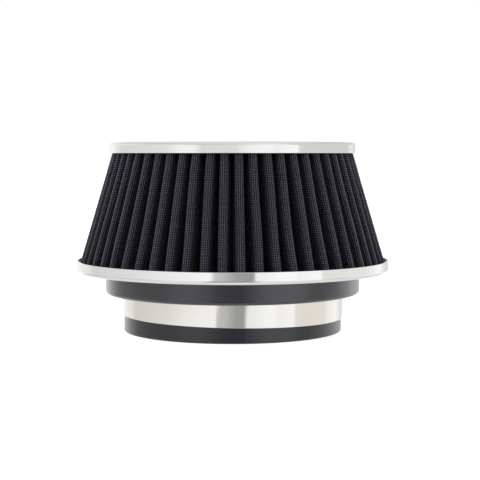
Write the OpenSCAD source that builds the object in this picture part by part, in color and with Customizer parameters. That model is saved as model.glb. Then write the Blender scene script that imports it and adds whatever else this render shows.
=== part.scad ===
// Short cone air filter with a clamp-on rubber neck.
// The origin is on the filter's axis, in the plane of the neck's lower rim, and +Z points at the top cap.
// The worm housing of the clamp is at the back, on the +Y side.

/* [Neck] */
// Diameter of the intake tube that the neck slides over
tube_d = 101.6; // [94:0.1:106]
// Wall of the neck
neck_wall = 2.45; // [1.8:0.05:3.2]
// Height of the neck, from its rim to the step
neck_h = 18.45; // [18.45:0.05:30]
// Rounding of the rim's outer edge
rim_r = 0.8; // [0.4:0.1:1.2]
// Chamfer at the neck's mouth
mouth_chamfer = 0.4; // [0.2:0.1:0.6]

/* [Step] */
// How far the rubber step stands out past the neck
step_w = 8.95; // [7.5:0.05:14]
// Height of the rubber step
step_h = 10.6; // [6:0.1:20]
// Rounding of the step's lower edge
step_edge_r = 1.8; // [0.5:0.1:3]
// Depth of the hollow round the neck, under the step, that the clamp's upper edge reaches into
relief_h = 1.2; // [1:0.1:2]
// Width of that hollow
relief_w = 4.2; // [4:0.1:4.5]
// Depth of the groove that grips the base ring's inner edge
grip = 5.5; // [3:0.1:6]
// Width of the rubber lip on top of the base ring
lip_w = 2.8; // [1.5:0.1:4]
// Rounding of the lip's upper inner edge
lip_edge_r = 1; // [0.4:0.1:1.5]

/* [Base ring] */
// Width of the base ring, from its inner edge to its outer one
ring_w = 19.5; // [16:0.1:28]
// Height of the base ring
ring_h = 5.7; // [4.5:0.1:9]
// Sheet thickness of the base ring
ring_sheet = 0.7; // [0.5:0.05:1.2]
// Rounding of the base ring's lower edge
ring_edge_r = 1.8; // [1.3:0.1:2.5]
// Space between the pleats and the base ring at its upper edge
ring_clear = 1.35; // [0.9:0.05:2.5]

/* [Top cap] */
// Diameter of the top cap
cap_d = 119.6; // [108:0.1:126]
// Height of the top cap
cap_h = 5.2; // [4.5:0.1:9]
// Sheet thickness of the top cap
cap_sheet = 0.6; // [0.5:0.05:1.2]
// Rounding of the top cap's shoulder
cap_edge_r = 1.6; // [1.3:0.1:2.5]
// Space between the pleats and the top cap at its lower edge
cap_clear = 0.5; // [0.3:0.05:1.5]
// Depth of the pressed middle of the top cap
dish = 1.6; // [0.8:0.1:2.2]
// Run of the slope round the pressed middle
dish_slope = 1.6; // [1:0.1:3]

/* [Pleats] */
// Number of pleats
pleats = 56; // [44:2:60]
// Height of the pleats between the base ring and the top cap
pleat_h = 51.9; // [30:0.1:120]
// Depth of the pleats
pleat_depth = 12.7; // [9:0.1:13]
// Radius of a fold, at the middle of the filter cloth
fold_r = 1.15; // [1.05:0.05:1.3]
// Thickness of the filter cloth
cloth_t = 1; // [0.6:0.1:1.1]
// Thickness of each wire screen
screen_t = 0.25; // [0.15:0.05:0.3]
// Space between the cloth and each screen
layer_gap = 0.05; // [0.03:0.01:0.1]
// Depth of the potting at each end of the pleats
bed_h = 2.9; // [1.5:0.1:3.2]

/* [Seam clip] */
// Thickness of the strip that joins the two ends of the pleated sheet
clip_t = 0.5; // [0.3:0.05:0.6]

/* [Clamp band] */
// Height of the band's lower edge above the rim
band_z = 7.4; // [3:0.1:7.4]
// Width of the band
band_w = 11; // [8:0.1:11]
// Thickness of the band, its housing and its saddle
band_t = 0.55; // [0.5:0.05:0.8]
// Space between the band's laps
lap_gap = 0.12; // [0.1:0.01:0.2]
// Angle of the tail past the housing
tail_angle = 32; // [22:1:60]
// Number of slots in the band
slots = 24; // [8:1:30]
// Distance from slot to slot
slot_pitch = 3; // [2.6:0.1:3.6]
// Width of a slot
slot_w = 1.4; // [1:0.1:1.8]
// Length of a slot
slot_l = 6.4; // [5:0.1:7.4]
// Slant of the slots
slot_slant = 9; // [4:1:12]
// Tilt of the whole clamp on the neck, with its +X side lower
clamp_tilt = 1; // [-1:0.1:1]

/* [Clamp screw] */
// Diameter of the screw under its thread
core_d = 6.6; // [6:0.1:7]
// Height of the screw's thread
thread_h = 0.7; // [0.5:0.05:0.8]
// Length of the threaded part
worm_l = 14; // [12:0.1:18]
// Width of the hexagon across its flats
hex_af = 7; // [6:0.1:7]
// Length of the hexagon
hex_l = 4.1; // [3:0.1:6]
// Width of the screwdriver slot
drive_w = 1.2; // [0.8:0.1:1.6]
// Depth of the screwdriver slot
drive_h = 1.7; // [1:0.1:2.5]
// Diameter of the screw's neck and of its hole in the housing
journal_d = 4.6; // [3.6:0.1:5.4]
// Diameter of the pilot at the screw's far end
pilot_d = 3.2; // [2:0.1:4]
// Diameter of the collar under the hexagon
collar_d = 7.4; // [6.6:0.1:7.6]
// Thickness of the collar
collar_h = 0.9; // [0.6:0.1:1.2]

/* [Fits] */
// Space at each bonded or clamped face
seat_gap = 0.05; // [0.02:0.01:0.1]
// Space between the clamp and the neck, which leaves room for the clamp's tilt
clamp_gap = 0.15; // [0.14:0.01:0.2]
// Radial clearance of the turning screw in its holes
run_gap = 0.06; // [0.03:0.01:0.09]
// End play of the turning screw
end_play = 0.15; // [0.1:0.05:0.3]

/* [Hidden] */

// Heights of the faces where one piece meets the next
ring_z = neck_h + step_h;
ring_top_z = ring_z + ring_h;
cap_z = ring_top_z + pleat_h;
cap_top_z = cap_z + cap_h;
pleat_low_z = ring_z + ring_sheet + bed_h;
pleat_top_z = cap_top_z - cap_sheet - bed_h;

// Radii of the rubber and of the sheet metal
bore_r = tube_d / 2;
neck_r = bore_r + neck_wall;
step_r = neck_r + step_w;
ring_hole_r = step_r - grip;
lip_r = ring_hole_r + lip_w;
ring_r = ring_hole_r + ring_w;
cap_r = cap_d / 2;

// The pleated pack, measured over its two screens
pack_t = cloth_t + 2 * layer_gap + 2 * screen_t;
pack_fold_r = fold_r + pack_t / 2;
crest_low_r = ring_r - ring_sheet - ring_clear;
crest_top_r = cap_r - cap_sheet - cap_clear;
fold_step = 360 / pleats;
fold_end = 82;
fold_facets = 3;
fold_angles = [for (i = [0 : fold_facets]) fold_end * (2 * i / fold_facets - 1)];
// A valley faces the front, so that the seam's valley faces the back
front = -90;
back = 90;
clip_clear = 0.3;
// The upper potting reaches in past the pleats, and the pressed middle of the cap ends inside it
bed_margin = 1;
bed_r = crest_r(pleat_top_z) - pleat_depth - bed_margin;
dish_r = bed_r - dish_slope - cap_sheet;

// The clamp is drawn round the middle of the band's width
clamp_z = band_z + band_w / 2;
saddle_r = neck_r + clamp_gap;
lap_low = saddle_r;
lap_first = saddle_r + band_t + seat_gap;
lap_second = lap_first + band_t + lap_gap;
lap_tail = lap_low + band_t + lap_gap;
core_r = core_d / 2;
core_lift = 0.25;
worm_y = lap_second + band_t + core_lift + core_r;
worm_clear = 0.25;
arch_r = core_r + thread_h + worm_clear;
house_l = worm_l + 2 * end_play + 2 * band_t;
shoulder_y = lap_second + band_t + lap_gap;
strap_half = band_w / 2 + seat_gap;
// The housing and the saddle meet edge to edge, with a dovetail on each side
joint_y = lap_first + band_t / 2;
tail_w = 4;
tail_flare = 0.5;
tail_h = 0.7;
// Angles of the band's path, counted on through its second lap
lap_margin = 1.2;
lap_half = asin((house_l / 2 + lap_margin) / lap_first);
ease = 22;
lap_facet = 3;
path_start = back - lap_half;
path_first_end = back + lap_half;
path_low_start = path_first_end + ease;
path_low_end = path_start + 360 - ease;
path_second = path_start + 360;
path_second_end = path_first_end + 360;
path_tail = path_low_start + 360;
path_steps = ceil((360 + 2 * lap_half + tail_angle) / lap_facet);
// Length that a cut runs past the solid
over = 1;

curve_facets = 6;
$fn = 128;

// Colours of the surfaces
POLISHED = [0.86, 0.86, 0.87];
STAINLESS = [0.78, 0.77, 0.75];
RUBBER = [0.10, 0.10, 0.11];
RESIN = [0.14, 0.14, 0.15];
BLACK_WIRE = [0.16, 0.16, 0.19];
CLOTH = [0.05, 0.05, 0.06];
ALUMINIUM = [0.70, 0.71, 0.72];

// Points on a circular arc from one angle to another
function arc(c, r, a0, a1) =
    [for (i = [0 : curve_facets]) let (a = a0 + (a1 - a0) * i / curve_facets) c + r * [cos(a), sin(a)]];

// A smooth change from one value to another while t goes from 0 to 1
function blend(v0, v1, t) = v0 + (v1 - v0) * (1 - cos(180 * t)) / 2;

function polar(r, a) = [r * cos(a), r * sin(a)];

// A point given by its distances along and across the direction a
function turned(along, across, a) = [along * cos(a) - across * sin(a), along * sin(a) + across * cos(a)];

// Radius over the pleats at a height
function crest_r(z) = crest_low_r + (crest_top_r - crest_low_r) * (z - ring_top_z) / pleat_h;

// Points of the crest and of the valley of pleat k, on the surface that lies e outside the cloth's middle
function crest_points(k, e, z) =
    [for (a = fold_angles)
        turned(
            crest_r(z) - pack_fold_r + (fold_r + e) * cos(a),
            (fold_r + e) * sin(a),
            front + (k + 0.5) * fold_step
        )];
function valley_points(k, e, z) =
    [for (a = fold_angles)
        turned(
            crest_r(z) - pleat_depth + pack_fold_r - (fold_r - e) * cos(a),
            (fold_r - e) * sin(a),
            front + (k + 1) * fold_step
        )];
function pleat_ring(e, z) =
    [for (k = [0 : pleats - 1]) each concat(crest_points(k, e, z), valley_points(k, e, z))];

function raised(points, z) = [for (p = points) [p[0], p[1], z]];

// A wall between an outer and an inner line of points, from one height to another
module ruled_wall(outer_low, inner_low, outer_top, inner_top, z0, z1, closed) {
    n = len(outer_low);
    last = closed ? n - 1 : n - 2;
    corners = concat(
        raised(outer_low, z0),
        raised(inner_low, z0),
        raised(outer_top, z1),
        raised(inner_top, z1)
    );
    sides = [
        for (i = [0 : last])
            let (j = (i + 1) % n)
            each [
                [i, i + 2 * n, j + 2 * n],
                [i, j + 2 * n, j],
                [i + n, j + n, j + 3 * n],
                [i + n, j + 3 * n, i + 3 * n],
                [i, j, j + n],
                [i, j + n, i + n],
                [i + 2 * n, i + 3 * n, j + 3 * n],
                [i + 2 * n, j + 3 * n, j + 2 * n]
            ]
    ];
    ends = [
        [0, n, 3 * n],
        [0, 3 * n, 2 * n],
        [n - 1, 3 * n - 1, 4 * n - 1],
        [n - 1, 4 * n - 1, 2 * n - 1]
    ];
    polyhedron(points = corners, faces = closed ? sides : concat(sides, ends), convexity = 10);
}

// One layer of the pleated pack, between two distances from the cloth's middle
module pleated_layer(e_in, e_out) {
    ruled_wall(
        pleat_ring(e_out, pleat_low_z),
        pleat_ring(e_in, pleat_low_z),
        pleat_ring(e_out, pleat_top_z),
        pleat_ring(e_in, pleat_top_z),
        pleat_low_z,
        pleat_top_z,
        true
    );
}

module top_cap() {
    inner_r = cap_edge_r - cap_sheet;
    color(POLISHED)
        rotate_extrude()
            polygon(concat(
                [[cap_r - cap_sheet, cap_z], [cap_r, cap_z]],
                arc([cap_r - cap_edge_r, cap_top_z - cap_edge_r], cap_edge_r, 0, 90),
                [[dish_r + dish_slope, cap_top_z], [dish_r, cap_top_z - dish], [0, cap_top_z - dish]],
                [[0, cap_top_z - dish - cap_sheet], [dish_r + cap_sheet / 2, cap_top_z - dish - cap_sheet]],
                [[dish_r + dish_slope + cap_sheet / 2, cap_top_z - cap_sheet]],
                arc([cap_r - cap_edge_r, cap_top_z - cap_edge_r], inner_r, 90, 0)
            ));
}

// The resin bead between the cap's skirt and its pressed middle
module top_potting() {
    outer_r = cap_r - cap_sheet - seat_gap;
    corner_r = cap_edge_r - cap_sheet;
    top_z = cap_top_z - cap_sheet;
    color(RESIN)
        rotate_extrude()
            polygon(concat(
                [[bed_r, pleat_top_z], [outer_r, pleat_top_z]],
                arc([outer_r - corner_r, top_z - corner_r], corner_r, 0, 90),
                [[bed_r, top_z]]
            ));
}

module outer_screen() {
    color(BLACK_WIRE) pleated_layer(cloth_t / 2 + layer_gap, pack_t / 2);
}

module filter_cloth() {
    color(CLOTH) pleated_layer(-cloth_t / 2, cloth_t / 2);
}

module inner_screen() {
    color(BLACK_WIRE) pleated_layer(-pack_t / 2, -cloth_t / 2 - layer_gap);
}

// The folded strip that pinches the two ends of the pleated sheet together, seen from inside
module seam_clip() {
    seam = pleats / 2 - 1;
    near = -pack_t / 2 - layer_gap;
    far = near - clip_t;
    z0 = pleat_low_z + clip_clear;
    z1 = pleat_top_z - clip_clear;
    color(ALUMINIUM)
        ruled_wall(
            valley_points(seam, near, z0),
            valley_points(seam, far, z0),
            valley_points(seam, near, z1),
            valley_points(seam, far, z1),
            z0,
            z1,
            false
        );
}

module base_ring() {
    inner_r = ring_edge_r - ring_sheet;
    color(POLISHED)
        rotate_extrude()
            polygon(concat(
                [[ring_hole_r, ring_z]],
                arc([ring_r - ring_edge_r, ring_z + ring_edge_r], ring_edge_r, -90, 0),
                [[ring_r, ring_top_z], [ring_r - ring_sheet, ring_top_z]],
                arc([ring_r - ring_edge_r, ring_z + ring_edge_r], inner_r, 0, -90),
                [[ring_hole_r, ring_z + ring_sheet]]
            ));
}

// The resin bed in the base ring that holds the lower ends of the pleats
module base_potting() {
    inner_r = lip_r + seat_gap;
    outer_r = ring_r - ring_sheet - seat_gap;
    corner_r = ring_edge_r - ring_sheet;
    low_z = ring_z + ring_sheet;
    color(RESIN)
        rotate_extrude()
            polygon(concat(
                [[inner_r, low_z]],
                arc([outer_r - corner_r, low_z + corner_r], corner_r, -90, 0),
                [[outer_r, pleat_low_z], [inner_r, pleat_low_z]]
            ));
}

// Neck, step and lip are one rubber moulding, with a groove round the ring's inner edge
module neck_flange() {
    low_z = ring_z + ring_sheet;
    relief_z = neck_h + relief_h;
    color(RUBBER)
        rotate_extrude()
            polygon(concat(
                [[bore_r, mouth_chamfer], [bore_r + mouth_chamfer, 0]],
                arc([neck_r - rim_r, rim_r], rim_r, -90, 0),
                [[neck_r, relief_z], [neck_r + relief_w, relief_z], [neck_r + relief_w, neck_h]],
                arc([step_r - step_edge_r, neck_h + step_edge_r], step_edge_r, -90, 0),
                [[step_r, ring_z], [ring_hole_r - seat_gap, ring_z], [ring_hole_r - seat_gap, low_z]],
                [[lip_r, low_z], [lip_r, pleat_low_z]],
                arc([bore_r + lip_edge_r, pleat_low_z - lip_edge_r], lip_edge_r, 90, 180)
            ));
}

// Inner radius of the band at an angle along its path
function lap_r(a) =
    a < path_first_end ? lap_first
    : a < path_low_start ? blend(lap_first, lap_low, (a - path_first_end) / ease)
    : a < path_low_end ? lap_low
    : a < path_second ? blend(lap_low, lap_second, (a - path_low_end) / ease)
    : a < path_second_end ? lap_second
    : a < path_tail ? blend(lap_second, lap_tail, (a - path_second_end) / ease)
    : lap_tail;

function path_angle(i) = path_start + i * lap_facet;

// The clamp's own frame, tilted on the neck
module clamp_frame() {
    translate([0, 0, clamp_z])
        rotate([0, clamp_tilt, 0])
            children();
}

// The band goes once round the neck and then over its own fixed end, where the screw's slots are
module clamp_band() {
    slot_step = slot_pitch / lap_second * 180 / PI;
    last_slot = path_angle(path_steps) - slot_step;
    color(STAINLESS)
        clamp_frame()
            difference() {
                linear_extrude(height = band_w, center = true)
                    polygon(concat(
                        [for (i = [0 : path_steps]) polar(lap_r(path_angle(i)) + band_t, path_angle(i))],
                        [for (i = [path_steps : -1 : 0]) polar(lap_r(path_angle(i)), path_angle(i))]
                    ));
                for (i = [0 : slots - 1])
                    band_slot(last_slot - i * slot_step);
            }
}

module band_slot(a) {
    rotate([0, 0, a])
        translate([lap_r(a) - lap_gap / 2, 0, 0])
            rotate([slot_slant, 0, 0])
                translate([0, -slot_w / 2, -slot_l / 2])
                    cube([band_t + lap_gap, slot_w, slot_l]);
}

// A section in the plane across the screw, with its first coordinate along Y and its second along Z
module along_screw(length) {
    rotate([90, 0, 90])
        linear_extrude(height = length, center = true)
            children();
}

// A cylinder on the screw's axis
module on_axis(r, x0, x1) {
    translate([x0, worm_y, 0])
        rotate([0, 90, 0])
            cylinder(r = r, h = x1 - x0);
}

// The tunnel over the screw, open towards the band
module arch(r) {
    polygon(concat(
        [[shoulder_y - over, -r]],
        [for (i = [0 : 2 * curve_facets]) [worm_y, 0] + polar(r, 90 * (i / curve_facets - 1))],
        [[shoulder_y - over, r]]
    ));
}

// The closed strap round both laps of the band, with the tunnel for the screw on it
module clamp_shell() {
    inside = saddle_r - over;
    outer_half = strap_half + band_t;
    difference() {
        along_screw(house_l)
            union() {
                arch(arch_r + band_t);
                translate([inside, -outer_half])
                    square([shoulder_y + band_t - inside, 2 * outer_half]);
            }
        along_screw(house_l - 2 * band_t)
            arch(arch_r);
        difference() {
            along_screw(house_l + 2 * over)
                translate([inside, -strap_half])
                    square([shoulder_y - inside, 2 * strap_half]);
            cylinder(r = saddle_r + band_t, h = 2 * band_w, center = true);
        }
        cylinder(r = saddle_r, h = 3 * band_w, center = true);
        on_axis(journal_d / 2 + run_gap, -house_l, 0);
        on_axis(pilot_d / 2 + run_gap, 0, house_l);
    }
}

// The saddle's share of the strap: all below the joint, and a dovetail above it
module saddle_share(gap) {
    half = tail_w / 2 + gap;
    top_y = joint_y + gap;
    linear_extrude(height = 2 * band_w, center = true)
        polygon([
            [-house_l, 0],
            [house_l, 0],
            [house_l, top_y],
            [half, top_y],
            [half + tail_flare, top_y + tail_h],
            [-half - tail_flare, top_y + tail_h],
            [-half, top_y],
            [-house_l, top_y]
        ]);
}

module clamp_saddle() {
    color(STAINLESS)
        clamp_frame()
            intersection() {
                clamp_shell();
                saddle_share(0);
            }
}

module clamp_housing() {
    color(STAINLESS)
        clamp_frame()
            difference() {
                clamp_shell();
                saddle_share(seat_gap);
            }
}

// The screw without its fine thread, with its head on the side where the band's tail comes out
module clamp_screw() {
    worm_half = worm_l / 2;
    head_x = house_l / 2 + end_play;
    hex_x = head_x + collar_h;
    hex_r = hex_af / 2 / cos(30);
    color(STAINLESS)
        clamp_frame()
            difference() {
                union() {
                    on_axis(core_r, -worm_half, worm_half);
                    on_axis(journal_d / 2, -head_x - collar_h / 2, -worm_half / 2);
                    on_axis(pilot_d / 2, worm_half / 2, house_l / 2);
                    on_axis(collar_d / 2, -hex_x, -head_x);
                    translate([-hex_x - hex_l, worm_y, 0])
                        rotate([0, 90, 0])
                            cylinder(r = hex_r, h = hex_l + collar_h / 2, $fn = 6);
                }
                translate([-hex_x - hex_l - over, worm_y - hex_af, -drive_w / 2])
                    cube([drive_h + over, 2 * hex_af, drive_w]);
            }
}

top_cap();
top_potting();
outer_screen();
filter_cloth();
inner_screen();
seam_clip();
base_ring();
base_potting();
neck_flange();
clamp_band();
clamp_saddle();
clamp_housing();
clamp_screw();
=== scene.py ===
import math

import bmesh
import bpy
import numpy as np
from mathutils import Matrix, Vector


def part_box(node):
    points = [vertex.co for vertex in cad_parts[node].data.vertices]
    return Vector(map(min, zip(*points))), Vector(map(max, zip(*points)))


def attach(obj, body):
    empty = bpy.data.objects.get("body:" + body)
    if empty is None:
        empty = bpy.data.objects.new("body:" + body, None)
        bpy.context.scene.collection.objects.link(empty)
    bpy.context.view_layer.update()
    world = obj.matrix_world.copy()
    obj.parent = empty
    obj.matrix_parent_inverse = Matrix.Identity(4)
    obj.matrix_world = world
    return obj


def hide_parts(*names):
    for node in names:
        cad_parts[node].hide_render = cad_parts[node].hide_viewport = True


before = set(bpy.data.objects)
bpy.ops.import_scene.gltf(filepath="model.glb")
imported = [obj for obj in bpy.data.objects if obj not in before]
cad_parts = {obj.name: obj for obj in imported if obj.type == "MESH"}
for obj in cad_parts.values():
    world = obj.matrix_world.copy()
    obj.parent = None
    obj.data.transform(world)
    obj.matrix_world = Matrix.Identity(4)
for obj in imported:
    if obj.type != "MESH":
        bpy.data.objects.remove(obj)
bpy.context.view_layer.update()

MM = 0.001
TAU = 2 * math.pi

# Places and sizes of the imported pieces, in metres
CAP_LOW, CAP_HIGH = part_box("top_cap")
RING_LOW, RING_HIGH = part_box("base_ring")
NECK_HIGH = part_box("neck_flange")[1]
PACK_LOW, PACK_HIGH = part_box("filter_cloth")
BAND_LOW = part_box("clamp_band")[0]

# Meshes: points closer than WELD are one, and edges sharper than SHARP_ANGLE in degrees stay sharp
WELD = 1e-7
SHARP_ANGLE = 35

# Sheet metal
METAL_SIDES = 320
METAL_ARC = 10
RING_R = RING_HIGH.x
RING_SHEET = 0.7 * MM
RING_EDGE_R = 1.8 * MM
RING_HOLE_R = 56.7 * MM
CAP_R = CAP_HIGH.x
CAP_SHEET = 0.6 * MM
CAP_EDGE_R = 1.6 * MM
CAP_DISH = 1.6 * MM
DISH_SLOPE = 1.6 * MM
DISH_BEND_OUT = 0.7 * MM
DISH_BEND_IN = 0.4 * MM
SHEET_NOSE_R = 0.16 * MM

# Rubber neck
RUBBER_SIDES = 256
RUBBER_ARC = 8
BORE_R = 50.8 * MM
NECK_R = 53.25 * MM
NECK_H = 18.45 * MM
RIM_R = 0.8 * MM
MOUTH_CHAMFER = 0.4 * MM
MOUTH_R = 0.1 * MM
STEP_R = NECK_HIGH.x
STEP_EDGE_R = 1.8 * MM
RELIEF_H = 1.2 * MM
RELIEF_W = 4.2 * MM
RELIEF_R = 0.3 * MM
RELIEF_LIP_R = 0.4 * MM
LIP_R = RING_HOLE_R + 2.8 * MM
LIP_EDGE_R = 1 * MM
LIP_BACK_R = 0.3 * MM

# Pleated pack
PLEATS = 56
PLEAT_DEPTH = 12.7 * MM
FOLD_R = 1.15 * MM
CLOTH_T = 1 * MM
SCREEN_T = 0.25 * MM
LAYER_GAP = 0.05 * MM
PACK_T = CLOTH_T + 2 * LAYER_GAP + 2 * SCREEN_T
PACK_FOLD_R = FOLD_R + PACK_T / 2
CREST_GAP_LOW = 1.35 * MM
CREST_GAP_TOP = 0.5 * MM
CREST_RING_R = RING_R - RING_SHEET - CREST_GAP_LOW
CREST_CAP_R = CAP_R - CAP_SHEET - CREST_GAP_TOP
CREST_SLOPE = (CREST_CAP_R - CREST_RING_R) / (CAP_LOW.z - RING_HIGH.z)
FOLD_END = math.radians(82)
FOLD_STEP = TAU / PLEATS
FRONT = -math.pi / 2
SEAM = PLEATS // 2 - 1
MEASURED_FOLD = 20
SKIN_ROWS = 13
SKIN_ARC = 8
SKIN_FLANK = 2
SKIN_SHARP = 50
OUTWARD_STEP = 0.1 * MM

# Hand-folded pleats are never quite even: how far the folds sway at mid height, as an S and as a whole
SWAY_MID = 0.3 * MM
SWAY_TWICE = 0.16 * MM
SWAY_EVEN = 0.14 * MM
SWAY_LIMIT = 1.8
SWAY_SEED = 7

# Potting beds
RESIN_SIDES = 192
RESIN_ARC = 6
SEAT_GAP = 0.05 * MM
BED_MARGIN = 1 * MM
BED_R = CREST_RING_R + CREST_SLOPE * (PACK_HIGH.z - RING_HIGH.z) - PLEAT_DEPTH - BED_MARGIN
BED_EDGE_R = 0.6 * MM
BED_CORNER_R = 0.1 * MM

# Wires of the outer screen: the warp runs up the folds, the weft round them
WIRES_PER_PLEAT = 25
WARP_R = 0.125 * MM
WARP_ROWS = 11
WEFT_R = 0.1 * MM
WEFT_STEP = 1.05 * MM
WEAVE_RISE = 0.06 * MM
WIRE_SIDES = 3
SCREEN_SECTORS = 4
SCREEN_MID = CLOTH_T / 2 + LAYER_GAP + SCREEN_T / 2
# Depth over which the wires' colour darkens into the folds as painted shade
PAINTED_SHADE_DEPTH = 8 * MM
GAUZE_STEP = 0.45 * MM

# Band clamp, in its own frame: middle of the band's width, with the screw along X and the housing at +Y
BAND_W = 11 * MM
BAND_T = 0.55 * MM
LAP_GAP = 0.12 * MM
CLAMP_Z = 12.9 * MM
CLAMP_TILT = math.radians(1)
BAND_GAP = 0.15 * MM
BAND_STEPS = 560
BAND_ARC = 3
BAND_EDGE_R = 0.16 * MM
BAND_SHARP = 40
LAP_LOW = NECK_R + BAND_GAP
LAP_FIRST = LAP_LOW + BAND_T + SEAT_GAP
LAP_SECOND = LAP_FIRST + BAND_T + LAP_GAP
LAP_TAIL = LAP_LOW + BAND_T + LAP_GAP
TAIL_ANGLE = math.radians(32)
EASE = math.radians(22)
SLOTS = 24
SLOT_PITCH = 3 * MM
SLOT_W = 1.4 * MM
SLOT_L = 6.4 * MM
SLOT_SLANT = math.radians(9)
SLOT_SPARE = 0.02 * MM
CORE_R = 3.3 * MM
WORM_L = 14 * MM
CORE_GAP = 0.25 * MM
WORM_Y = LAP_SECOND + BAND_T + CORE_GAP + CORE_R
END_PLAY = 0.15 * MM
HOUSE_L = WORM_L + 2 * END_PLAY + 2 * BAND_T
LAP_MARGIN = 1.2 * MM
LAP_HALF = math.asin((HOUSE_L / 2 + LAP_MARGIN) / LAP_FIRST)
SADDLE_EDGE = 0.1 * MM
HOUSE_EDGE = 0.12 * MM
BEVEL_STEPS = 2

# Screw
THREAD_H = 0.18 * MM
THREAD_PITCH = 1.6 * MM
THREAD_MARGIN = 1 * MM
THREAD_STEPS = 40
THREAD_FOOT = 0.55 * MM
THREAD_CREST = 0.2 * MM
THREAD_SUNK = 0.05 * MM
HEX_AF = 7 * MM
HEX_L = 4.1 * MM
DRIVE_W = 1.2 * MM
DRIVE_H = 1.7 * MM
JOURNAL_R = 2.3 * MM
PILOT_R = 1.6 * MM
COLLAR_R = 3.7 * MM
COLLAR_H = 0.9 * MM
SCREW_EDGE = 0.15 * MM
SHAFT_SIDES = 64
HEAD_SIDES = 96
HEAD_SHARP = 25
HEAD_SPARE = 0.01 * MM
THREAD_SHARP = 30

# Head: width of its end face as a share of the hexagon's, then the chamfers' lengths and the back's cut as shares
# of the chamfer
HEAD_FACE = 0.94
FRONT_TAPER = 0.55
BACK_TAPER = 0.3
BACK_CUT = 0.6


def make_object(name, mesh, body="filter", replaced=()):
    """Links a mesh as a piece that rides on a body, and hides the solids it stands for"""
    piece = bpy.data.objects.new(name, mesh)
    bpy.context.scene.collection.objects.link(piece)
    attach(piece, body)
    if replaced:
        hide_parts(*replaced)
    return piece


def grid_mesh(name, points, quads, smooth_angle=None):
    """A mesh of quads from arrays, with smooth shading, but for edges sharper than the angle"""
    points = np.asarray(points, np.float32).reshape(-1, 3)
    quads = np.asarray(quads, np.int32).reshape(-1, 4)
    mesh = bpy.data.meshes.new(name)
    mesh.vertices.add(len(points))
    mesh.vertices.foreach_set("co", points.ravel())
    mesh.loops.add(quads.size)
    mesh.loops.foreach_set("vertex_index", quads.ravel())
    mesh.polygons.add(len(quads))
    mesh.polygons.foreach_set("loop_start", np.arange(len(quads), dtype=np.int32) * 4)
    mesh.update(calc_edges=True)
    mesh.shade_smooth()
    if smooth_angle:
        mesh.set_sharp_from_angle(angle=math.radians(smooth_angle))
    return mesh


def tube_quads(rings, sides, closed_rings=False):
    """Quads that join rings of points, each ring with the same number of sides"""
    last = rings if closed_rings else rings - 1
    ring = np.arange(last)[:, None]
    side = np.arange(sides)[None, :]
    here, after = ring * sides, ((ring + 1) % rings) * sides
    turn = (side + 1) % sides
    return np.stack([here + side, after + side, after + turn, here + turn], -1).reshape(-1, 4)


def rounded(corners, steps):
    """A closed outline from (x, y, radius) corners, with an arc of that radius at each"""
    outline = []
    count = len(corners)
    for i, (x, y, r) in enumerate(corners):
        here = Vector((x, y))
        if r <= 0:
            outline.append(here)
            continue
        back = Vector(corners[i - 1][:2]) - here
        ahead = Vector(corners[(i + 1) % count][:2]) - here
        back.normalize()
        ahead.normalize()
        half = back.angle(ahead) / 2
        reach = r / math.tan(half)
        centre = here + (back + ahead).normalized() * (r / math.sin(half))
        start = here + back * reach - centre
        turn = start.angle_signed(here + ahead * reach - centre)
        for s in range(steps + 1):
            outline.append(centre + Matrix.Rotation(-turn * s / steps, 2) @ start)
    return outline


def revolve(name, outline, segments):
    """Turns a closed outline of (radius, height) points round the Z axis"""
    profile = np.array([tuple(p) for p in outline])
    count = len(profile)
    turn = np.arange(segments) * TAU / segments
    points = np.empty((segments, count, 3))
    points[:, :, 0] = np.cos(turn)[:, None] * profile[None, :, 0]
    points[:, :, 1] = np.sin(turn)[:, None] * profile[None, :, 0]
    points[:, :, 2] = profile[None, :, 1]
    quads = []
    for s in range(segments):
        t = (s + 1) % segments
        for i in range(count):
            j = (i + 1) % count
            if profile[i, 0] < WELD and profile[j, 0] < WELD:
                continue
            quads.append((s * count + i, t * count + i, t * count + j, s * count + j))
    mesh = bpy.data.meshes.new(name)
    mesh.from_pydata([tuple(p) for p in points.reshape(-1, 3)], [], quads)
    tidy = bmesh.new()
    tidy.from_mesh(mesh)
    bmesh.ops.remove_doubles(tidy, verts=tidy.verts, dist=WELD)
    bmesh.ops.recalc_face_normals(tidy, faces=tidy.faces)
    tidy.to_mesh(mesh)
    tidy.free()
    mesh.shade_smooth()
    mesh.set_sharp_from_angle(angle=math.radians(SHARP_ANGLE))
    return mesh


def even_shading(piece):
    """Lets broad faces set the shading, so that walls beside small roundings look flat"""
    change = piece.modifiers.new("normals", "WEIGHTED_NORMAL")
    change.keep_sharp = True


# Materials


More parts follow.
